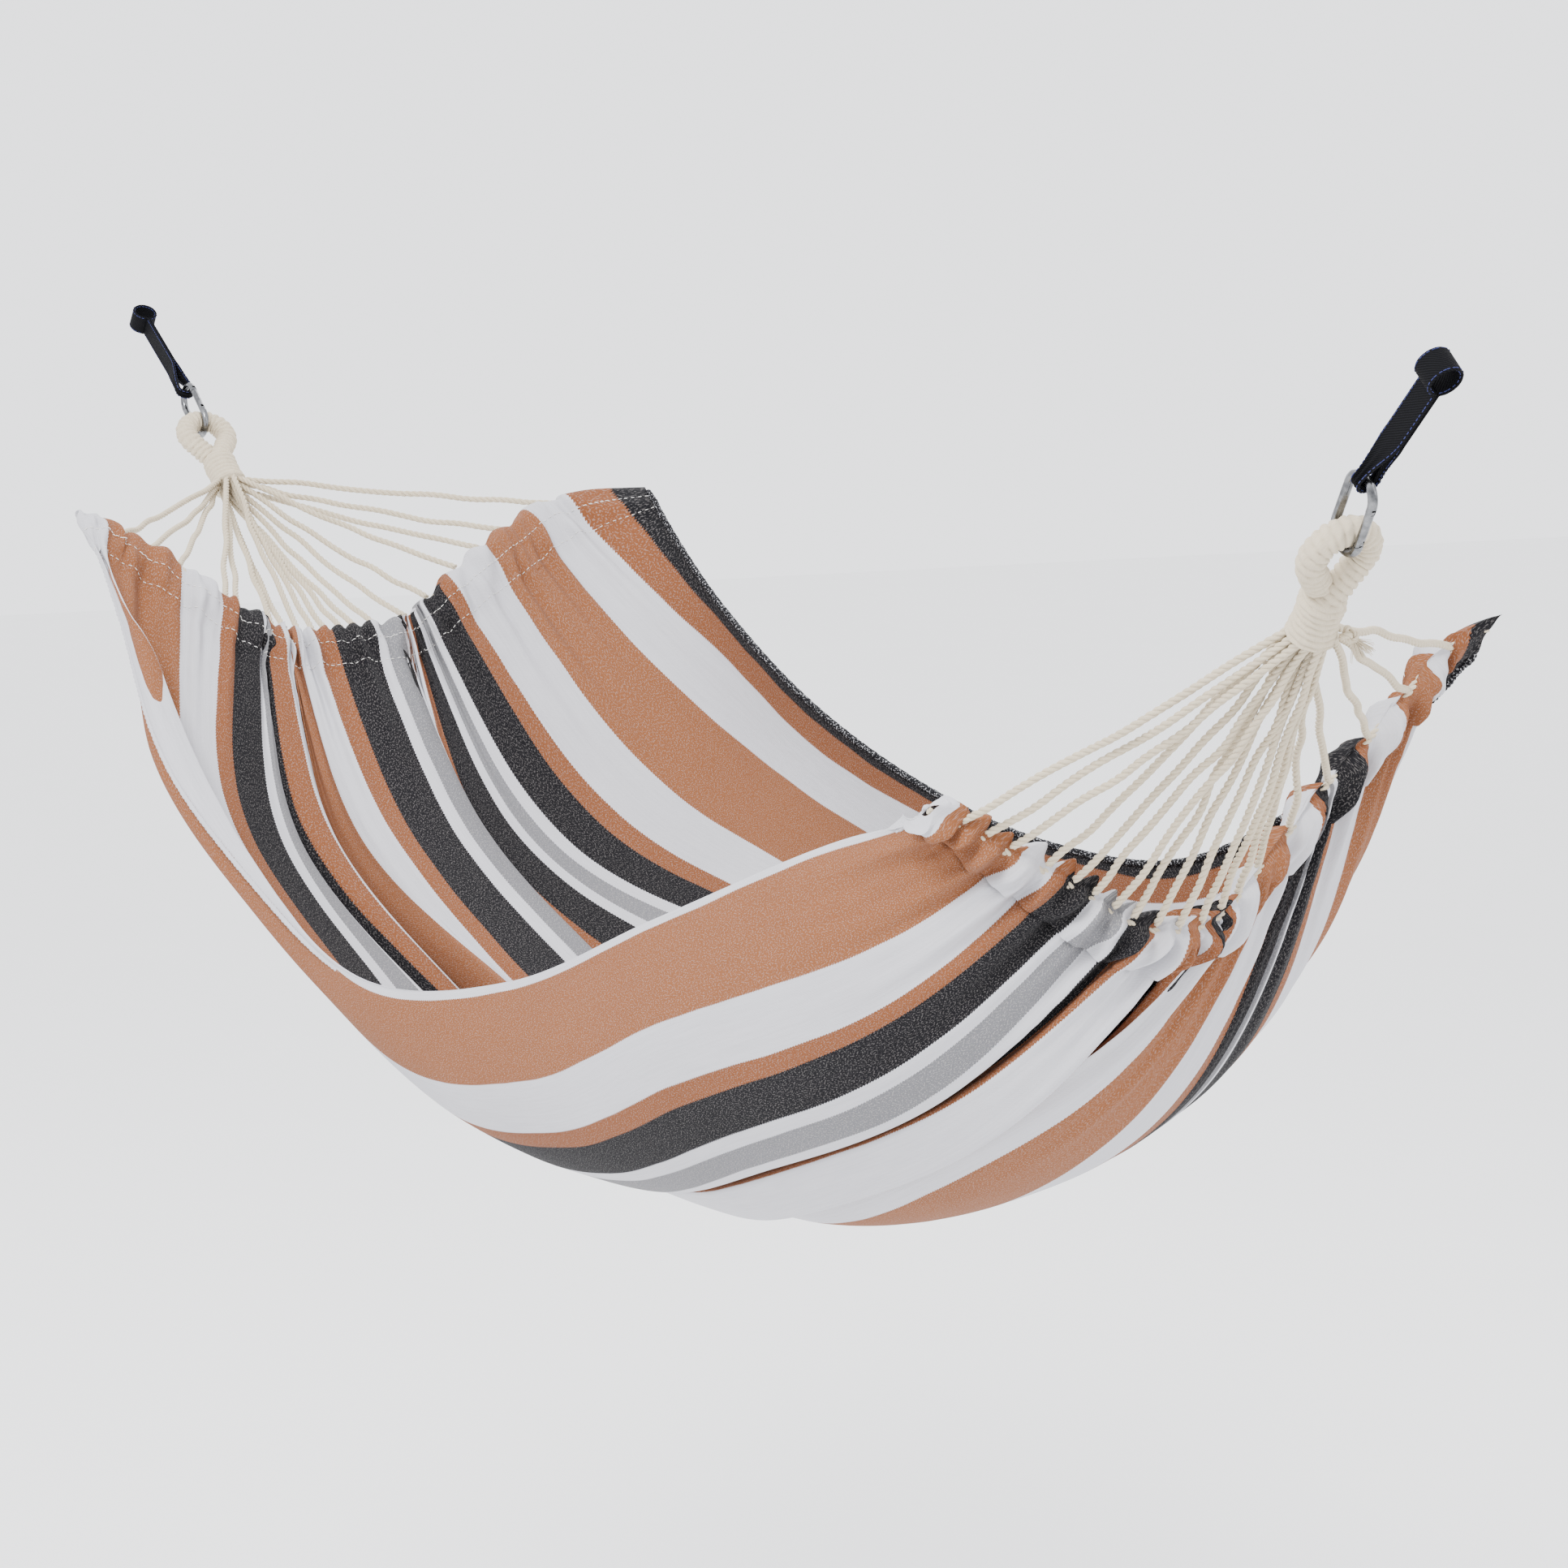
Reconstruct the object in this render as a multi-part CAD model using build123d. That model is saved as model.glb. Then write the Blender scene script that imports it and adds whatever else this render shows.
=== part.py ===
from build123d import *
import math
import os

# Fabric hammock on twisted cords, hung by two snap hooks in two webbing slings. Millimetres.
# Origin: centre of the left sling's top eye. +X runs to the right eye, +Y to the far edge, +Z up.

# Slings: webbing loops with a sewn round eye on top and a bunched loop round each snap hook.
EYE_RISE = 84.0
LEFT_SLING_ANGLE = 34.0
RIGHT_SLING_ANGLE = 46.0
HOOK_SPAN = 2220.0
WEBBING_WIDTH = 25.0
WEBBING_THICK = 3.0
BUNCHED_WIDTH = 11.0
SLING_EYE_RADIUS = 12.5
SLING_LOOP_RADIUS = 7.0
SLING_LEG_JOIN = 48.0

# Snap hooks: 80 mm long from 8 mm rod, with a sprung gate that opens inwards.
HOOK_LENGTH = 80.0
HOOK_WIDTH = 42.0
ROD = 8.0
GATE_LENGTH = 32.0
GATE_RADIUS = 3.7
PIVOT_UP = 3.5
PIN_RADIUS = 1.2
PIN_CLEARANCE = 0.05
TONGUE = 3.0
SLOT = 3.6
LATCH_TONGUE = 5.0
SPRING_BORE = 2.1
SPRING_RADIUS = 1.6
SPRING_WIRE = 0.5
SPRING_PITCH = 1.8
SPRING_LENGTH = 9.0
FIT_GAP = 0.3

# Rope eyes and the whipping that binds the cords together below each eye.
EYE_TUBE = 25.0
EYE_BEND = 25.0
EYE_APEX = 52.0
WHIP_TOP = 128.0
WHIP_END = 165.0
WHIP_RADIUS = 20.5
WHIP_WAIST = 19.0
KNOT_RADIUS = 8.0

# Directions in which the two rope eyes hang from their snap hooks.
LEFT_PULL = (0.755, 0.0, -0.656)
RIGHT_PULL = (-0.613, 0.193, -0.765)

# Cords and hems.
CORD = 7.2
CORD_PITCH = 7.9
CORD_COLUMNS = (3, 4, 5, 4, 3)
CORD_HEM_GAP = 4.0
HEM_TUBE = 16.0
HEM_BORE = 8.4
HEM_CORD = 7.6
EDGE_HEM = 7.0
FABRIC_THICK = 3.0
HEM_SETBACK = 9.5
EDGE_SETBACK = 16.0
SECTION_POINTS = 17

# End hems, from the near corner to the far corner. y grows all the way, so cords are placed by y.
LEFT_HEM = [
    (514, -300, -209), (525, -224, -239), (550, -141, -306), (548, -75, -352), (564, 20, -344),
    (552, 85, -343), (557, 150, -279), (511, 235, -243), (460, 325, -209), (514, 424, -204),
]
RIGHT_HEM = [
    (1934, -125, -379), (1960, -67, -414), (1980, -13, -444), (2008, 45, -490), (2023, 110, -488),
    (2006, 170, -445), (2000, 250, -376), (2016, 300, -325), (2050, 345, -250), (2074, 368, -238),
]
# Where each cord goes into its hem, as y, unevenly spaced as the cloth was gathered.
LEFT_CORD_Y = [
    -257, -224, -192, -141, -127, -84, -68, -52, -35, -18, 0, 18, 44, 85, 114, 155, 195, 240, 325,
]
RIGHT_CORD_Y = [
    -104, -84, -64, -34, -12, 4, 20, 36, 56, 76, 98, 118, 140, 166, 206, 250, 288, 318, 346,
]

# Lines that the cloth's near edge, lowest line and far edge follow between the hems.
NEAR_EDGE = [(650, -288, -385), (840, -272, -538), (1090, -250, -634), (1340, -212, -606),
             (1570, -180, -515), (1800, -145, -424)]
LOW_LINE = [(745, 10, -568), (985, 0, -722), (1220, 0, -798), (1460, 25, -816),
            (1680, 60, -797), (1880, 85, -690)]
FAR_EDGE = [(710, 412, -325), (925, 402, -421), (1165, 396, -487), (1405, 395, -518),
            (1645, 388, -497), (1905, 378, -370)]

LEFT_HOOK = Vector(EYE_RISE / math.tan(math.radians(LEFT_SLING_ANGLE)), 0, -EYE_RISE)
RIGHT_HOOK = LEFT_HOOK + Vector(HOOK_SPAN, 0, 0)
RIGHT_EYE = RIGHT_HOOK + Vector(EYE_RISE / math.tan(math.radians(RIGHT_SLING_ANGLE)), 0, EYE_RISE)
LEG_X = (HOOK_WIDTH - ROD) / 2
BOW_DROP = HOOK_LENGTH - ROD
PIVOT = (LEG_X, 0, -(BOW_DROP - LEG_X) + PIVOT_UP)
EYE_TOP = BOW_DROP - ROD / 2 - FIT_GAP - EYE_TUBE / 2
EYE_CENTRE = EYE_TOP + EYE_BEND


def chain_plane(origin, pull):
    """Local frame at a hook: -Z along the pull, X across the hook in a vertical plane, Y its normal."""
    up = Vector(*pull).normalized() * -1
    across = Vector(0, 1, 0).cross(up).normalized()
    return Plane(origin=origin, x_dir=across, z_dir=up)


def sling_plane(hook, eye):
    up = (eye - hook).normalized()
    across = Vector(0, 1, 0).cross(up).normalized()
    return Plane(origin=hook, x_dir=across, z_dir=up)


def place(shape, plane):
    return plane.location * shape


def polygon_prism(points, thickness):
    """Prism with a YZ outline, centred on X = 0."""
    outline = Plane.YZ * make_face(Polyline(*points, close=True))
    return extrude(outline, amount=thickness / 2, both=True)


def along_x(shape):
    return Rot(0, 90, 0) * shape


def along_y(shape):
    return Rot(90, 0, 0) * shape


def sling(length):
    """Webbing loop: round eye on top, two layers below it, then a V round the hook's rod."""
    t = WEBBING_THICK
    outer = SLING_LOOP_RADIUS + t
    eye_outer = SLING_EYE_RADIUS + t
    legs = []
    for side in (-1, 1):
        legs.append(polygon_prism([
            (side * SLING_LOOP_RADIUS, 0), (side * outer, 0),
            (side * (t + 0.2), SLING_LEG_JOIN), (side * 0.2, SLING_LEG_JOIN),
        ], WEBBING_WIDTH))
    joined = Pos(0, 0, (SLING_LEG_JOIN + length - SLING_EYE_RADIUS - 1) / 2) * Box(
        WEBBING_WIDTH, 2 * t, length - SLING_EYE_RADIUS - 1 - SLING_LEG_JOIN + 2)
    bend = along_x(Cylinder(outer, WEBBING_WIDTH)) - Pos(0, 0, outer) * Box(
        WEBBING_WIDTH * 2, outer * 3, outer * 2)
    ring = Pos(0, 0, length) * along_x(Cylinder(eye_outer, WEBBING_WIDTH))
    body = bend + legs[0] + legs[1] + joined + ring
    body -= Pos(0, 0, length) * along_x(Cylinder(SLING_EYE_RADIUS, WEBBING_WIDTH * 2))
    body -= along_x(Cylinder(SLING_LOOP_RADIUS, WEBBING_WIDTH * 2))
    taper = make_face(Polyline(
        (-BUNCHED_WIDTH / 2, -outer - 1), (BUNCHED_WIDTH / 2, -outer - 1),
        (BUNCHED_WIDTH / 2, 4), (WEBBING_WIDTH / 2, SLING_LEG_JOIN), (WEBBING_WIDTH / 2, length * 2),
        (-WEBBING_WIDTH / 2, length * 2), (-WEBBING_WIDTH / 2, SLING_LEG_JOIN),
        (-BUNCHED_WIDTH / 2, 4), close=True))
    return body & extrude(Plane.XZ * taper, amount=eye_outer * 2, both=True)


def hook_frame():
    """C-shaped rod, open on the gate side, with a slotted nose above and a tongue below."""
    r = LEG_X
    top, low = -r, -(BOW_DROP - r)
    nose = top - (low * -1 + top - GATE_LENGTH) / 2
    lower_end = nose - GATE_LENGTH
    path = Wire([
        Edge.make_line((r, 0, nose), (r, 0, top)),
        ThreePointArc((r, 0, top), (0, 0, 0), (-r, 0, top)).edge(),
        Edge.make_line((-r, 0, top), (-r, 0, low)),
        ThreePointArc((-r, 0, low), (0, 0, -BOW_DROP), (r, 0, low)).edge(),
        Edge.make_line((r, 0, low), (r, 0, lower_end)),
    ])
    section = Plane(origin=(r, 0, nose), z_dir=(0, 0, 1)) * Circle(ROD / 2)
    body = sweep(section, path)
    body -= Pos(r, 0, nose) * Box(ROD * 2, SLOT, LATCH_TONGUE * 2 + 1)
    ear = along_y(Cylinder(GATE_RADIUS - 0.3, TONGUE))
    stem = Pos(0, 0, -PIVOT_UP / 2 - 1) * Box(2 * (GATE_RADIUS - 0.3), TONGUE, PIVOT_UP + 2)
    clear = Pos(*PIVOT) * (along_y(Cylinder(GATE_RADIUS + 0.5, ROD * 2)))
    body -= clear
    body += Pos(*PIVOT) * (ear + stem)
    body -= Pos(*PIVOT) * along_y(Cylinder(PIN_RADIUS + PIN_CLEARANCE, ROD * 2))
    return body


def gate():
    """Round gate with a fork over the frame's tongue, a latch tongue and a bore for the spring."""
    low = PIVOT[2]
    top = -LEG_X - (BOW_DROP - 2 * LEG_X - GATE_LENGTH) / 2 - FIT_GAP
    length = top - low
    body = Pos(0, 0, length / 2) * Cylinder(GATE_RADIUS, length)
    body += along_y(Cylinder(GATE_RADIUS, 2 * GATE_RADIUS)) & Cylinder(GATE_RADIUS, 4 * GATE_RADIUS)
    body += Pos(0, 0, length + LATCH_TONGUE / 2 - 1) * Box(
        2 * (GATE_RADIUS - 0.4), TONGUE, LATCH_TONGUE - 1)
    body -= Pos(0, 0, 0) * Box(ROD * 2, TONGUE + 0.5, 2 * GATE_RADIUS + 1.4)
    body -= Pos(0, 0, GATE_RADIUS + SPRING_LENGTH / 2 + 0.6) * Cylinder(SPRING_BORE, SPRING_LENGTH + 0.6)
    body -= along_y(Cylinder(PIN_RADIUS, ROD * 2))
    return Pos(*PIVOT) * body


def gate_pin():
    return Pos(*PIVOT) * along_y(Cylinder(PIN_RADIUS, 2 * GATE_RADIUS))


def gate_spring():
    radius = SPRING_RADIUS - SPRING_WIRE / 2
    start = PIVOT[2] + GATE_RADIUS + 0.9
    helix = Helix(SPRING_PITCH, SPRING_LENGTH - 1, radius)
    section = Plane(origin=helix @ 0, z_dir=helix % 0) * Circle(SPRING_WIRE / 2)
    return Pos(PIVOT[0], 0, start) * sweep(section, helix, is_frenet=True)


def rope_eye():
    """Teardrop ring: the bend of a torus and two straight legs that close on each other."""
    r = EYE_TUBE / 2
    half = math.asin(EYE_BEND / EYE_APEX)
    touch_y = EYE_BEND * math.cos(half)
    touch_z = -EYE_CENTRE - EYE_BEND * math.sin(half)
    apex = (0, 0, -EYE_CENTRE - EYE_APEX)
    arc = ThreePointArc((0, touch_y, touch_z), (0, 0, -EYE_TOP), (0, -touch_y, touch_z))
    section = Plane(origin=arc @ 0, z_dir=arc % 0) * Circle(r)
    body = sweep(section, arc)
    for side in (-1, 1):
        body += rod_between(Vector(0, side * touch_y, touch_z), Vector(*apex), r)
    body += Pos(*apex) * Sphere(r)
    return body - Pos(0, 0, -WHIP_TOP - 50) * Box(120, 120, 100)


def whipping():
    profile = make_face([
        Line((0, -WHIP_TOP), (WHIP_RADIUS, -WHIP_TOP)),
        ThreePointArc((WHIP_RADIUS, -WHIP_TOP), (WHIP_WAIST, -(WHIP_TOP + WHIP_END) / 2),
                      (WHIP_RADIUS, -WHIP_END)),
        Line((WHIP_RADIUS, -WHIP_END), (0, -WHIP_END)),
        Line((0, -WHIP_END), (0, -WHIP_TOP)),
    ])
    return revolve(Plane.XZ * profile, Axis.Z)


def tail_knot(side):
    """Knot in the whipping cord's tail, lying against the whipping's lower rim."""
    out = WHIP_RADIUS + KNOT_RADIUS + FIT_GAP
    return Pos(side * out * 0.64, out * 0.77, -WHIP_END + KNOT_RADIUS) * Sphere(KNOT_RADIUS)


def rod_between(start, end, radius):
    run = end - start
    plane = Plane(origin=start, z_dir=run.normalized())
    return extrude(plane * Circle(radius), amount=run.length)


def soft_path(points):
    """Straight runs joined by tangent arcs, each arc as large as its two runs allow."""
    pts = [Vector(*p) for p in points]
    radii = []
    for a, b, c in zip(pts, pts[1:], pts[2:]):
        turn = math.radians((b - a).get_angle(c - b))
        radii.append(0.45 * min((b - a).length, (c - b).length) / math.tan(turn / 2))
    return FilletPolyline(*pts, radius=radii)


def soft_tube(points, diameter, bore=0.0):
    path = soft_path(points)
    plane = Plane(origin=path @ 0, z_dir=path % 0)
    body = sweep(plane * Circle(diameter / 2), path)
    if bore:
        body -= sweep(plane * Circle(bore / 2), path)
    return body


def hem_point(hem, y):
    for a, b in zip(hem, hem[1:]):
        if y <= b[1]:
            t = (y - a[1]) / (b[1] - a[1])
            return Vector(*a) + (Vector(*b) - Vector(*a)) * t
    return Vector(*hem[-1])


def bundle_places(open_side):
    """Places of the cords in the whipping, packed like a honeycomb, in columns from near to far."""
    places = []
    for column, size in enumerate(CORD_COLUMNS):
        y = (column - 2) * CORD_PITCH * math.sin(math.radians(60))
        flip = open_side if column < 3 else -open_side
        for row in range(size):
            places.append((((size - 1) / 2 - row) * CORD_PITCH * flip, y))
    return places


def cord_ends(plane, hem, y_list, open_side):
    """Start and end of each cord. They leave the whipping as a round bundle and fan out to the hem."""
    ends = []
    for (x, y), hem_y in zip(bundle_places(open_side), y_list):
        goal = hem_point(hem, hem_y)
        start = plane.from_local_coords(Vector(x, y, -WHIP_END))
        run = (start - goal).normalized()
        ends.append((start, goal + run * (HEM_TUBE / 2 + CORD_HEM_GAP)))
    return ends


def edge_line(near_corner, line, far_corner):
    """Points of a long edge's hem, which starts and ends clear of the end hems."""
    points = [Vector(*p) for p in [near_corner] + line + [far_corner]]
    points[0] += (points[1] - points[0]).normalized() * EDGE_SETBACK
    points[-1] += (points[-2] - points[-1]).normalized() * EDGE_SETBACK
    return points


def cord(start, end, plane):
    """Taut cord, cut square to the whipping's lower face."""
    run = (end - start).normalized()
    body = rod_between(start - run * CORD, end, CORD / 2)
    return body - place(Pos(0, 0, -WHIP_END + 30) * Box(90, 90, 60), plane)


def section_points(near, low, far, count=SECTION_POINTS):
    """Half-round hanging section from the near edge down to the lowest line and up to the far edge."""
    points = []
    for i in range(count):
        t = 2 * i / (count - 1)
        side = near if t <= 1 else far
        a = (1 - t if t <= 1 else t - 1) * math.pi / 2
        across = math.sin(a)
        rise = 1 - math.cos(a)
        points.append((
            low[0] + (side[0] - low[0]) * rise,
            low[1] + (side[1] - low[1]) * across,
            low[2] + (side[2] - low[2]) * rise,
        ))
    return points


def hem_section(hem, inwards, count=SECTION_POINTS):
    """The cloth's first row, set back from the hem so that it starts inside the hem's wall."""
    y0, y1 = hem[0][1], hem[-1][1]
    row = [hem_point(hem, y0 + (y1 - y0) * i / (count - 1)) for i in range(count)]
    return [(p.X + inwards * HEM_SETBACK, p.Y, p.Z) for p in row]


def fabric_bed():
    rows = [hem_section(LEFT_HEM, 1)]
    rows += [section_points(*row) for row in zip(NEAR_EDGE, LOW_LINE, FAR_EDGE)]
    rows.append(hem_section(RIGHT_HEM, -1))
    surface = Face.make_surface_from_array_of_points(rows, tol=0.5, min_deg=3, max_deg=5)
    return Solid.thicken(surface, FABRIC_THICK, normal_override=(0, 0, -1))


def save(shape, name):
    shape.label = name
    export_step(shape, f"parts/{name}.step")


def main():
    os.makedirs("parts", exist_ok=True)
    ends = [
        ("left", 1, LEFT_HOOK, LEFT_PULL, Vector(0, 0, 0), LEFT_HEM, LEFT_CORD_Y),
        ("right", -1, RIGHT_HOOK, RIGHT_PULL, RIGHT_EYE, RIGHT_HEM, RIGHT_CORD_Y),
    ]
    knots = []
    for name, open_side, hook, pull, eye, hem, y_list in ends:
        chain = chain_plane(hook, pull)
        strap_plane = sling_plane(hook, eye)
        save(place(sling((eye - hook).length), strap_plane), f"{name}_sling")
        save(place(hook_frame(), chain), f"{name}_hook")
        save(place(gate(), chain), f"{name}_gate")
        save(place(gate_pin(), chain), f"{name}_gate_pin")
        save(place(gate_spring(), chain), f"{name}_gate_spring")
        save(place(rope_eye(), chain), f"{name}_rope_eye")
        save(place(whipping(), chain), f"{name}_whipping")
        save(soft_tube(hem, HEM_TUBE, HEM_BORE), f"{name}_hem")
        save(soft_tube(hem, HEM_CORD), f"{name}_hem_cord")
        knots.append(place(tail_knot(-open_side), chain))
        for i, (start, end) in enumerate(cord_ends(chain, hem, y_list, open_side)):
            save(cord(start, end, chain), f"{name}_cord_{i + 1:02d}")
            print(name, "cord", i + 1, "straight, length", round((end - start).length, 1))
        print(name, "hook", hook, "pull", pull, "eye", eye, "pivot", chain.from_local_coords(Vector(*PIVOT)),
              "gate axis", chain.y_dir)
    save(Compound(children=knots), "tail_knots")
    save(soft_tube(edge_line(LEFT_HEM[0], NEAR_EDGE, RIGHT_HEM[0]), EDGE_HEM), "near_edge_hem")
    save(soft_tube(edge_line(LEFT_HEM[-1], FAR_EDGE, RIGHT_HEM[-1]), EDGE_HEM), "far_edge_hem")
    save(fabric_bed(), "fabric_bed")


main()
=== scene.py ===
import bpy
import math
import numpy as np
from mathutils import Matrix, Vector


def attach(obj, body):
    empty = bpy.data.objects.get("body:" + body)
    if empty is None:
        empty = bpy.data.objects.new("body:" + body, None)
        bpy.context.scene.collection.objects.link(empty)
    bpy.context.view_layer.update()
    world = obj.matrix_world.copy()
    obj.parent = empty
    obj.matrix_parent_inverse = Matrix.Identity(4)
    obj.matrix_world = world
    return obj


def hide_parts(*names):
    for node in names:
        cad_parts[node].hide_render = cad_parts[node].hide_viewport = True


# Fabric hammock on twisted cords. Origin: the left sling's top eye. +X runs to the right eye, +Y to the
# far edge, +Z up. Metres, except for the bed's plan, which is in millimetres.
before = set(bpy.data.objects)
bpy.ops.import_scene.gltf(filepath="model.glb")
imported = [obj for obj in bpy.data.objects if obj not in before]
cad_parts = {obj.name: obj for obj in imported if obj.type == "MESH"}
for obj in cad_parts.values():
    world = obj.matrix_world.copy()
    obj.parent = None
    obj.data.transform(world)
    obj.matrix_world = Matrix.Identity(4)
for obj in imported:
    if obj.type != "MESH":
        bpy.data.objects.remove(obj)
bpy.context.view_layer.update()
rng = np.random.default_rng(7)
MM = 0.001

# --- plan of the bed, in millimetres -------------------------------------
# The hems' cords, from the near edge to the far edge.
LEFT_HEM = [
    (514, -300, -209), (525, -224, -239), (550, -141, -306), (548, -75, -352), (564, 20, -344),
    (552, 85, -343), (557, 150, -279), (511, 235, -243), (460, 325, -209), (514, 424, -204),
]
RIGHT_HEM = [
    (1934, -125, -379), (1960, -67, -414), (1980, -13, -444), (2008, 45, -490), (2023, 110, -488),
    (2006, 170, -445), (2000, 250, -376), (2016, 300, -325), (2050, 345, -250), (2074, 368, -238),
]
# Six cross-sections between the hems: where each has its near edge, its lowest point and its far edge.
NEAR_EDGE = [(650, -288, -385), (840, -272, -538), (1090, -250, -634), (1340, -212, -606),
             (1570, -180, -515), (1800, -145, -424)]
LOW_LINE = [(745, 10, -568), (985, 0, -722), (1220, 0, -798), (1460, 25, -816),
            (1680, 60, -797), (1880, 85, -690)]
FAR_EDGE = [(710, 412, -325), (925, 402, -421), (1165, 396, -487), (1405, 395, -518),
            (1645, 388, -497), (1905, 378, -370)]
FLAT_WIDTH = 1504.5
FLAT_LENGTH = 1800.0

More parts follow.
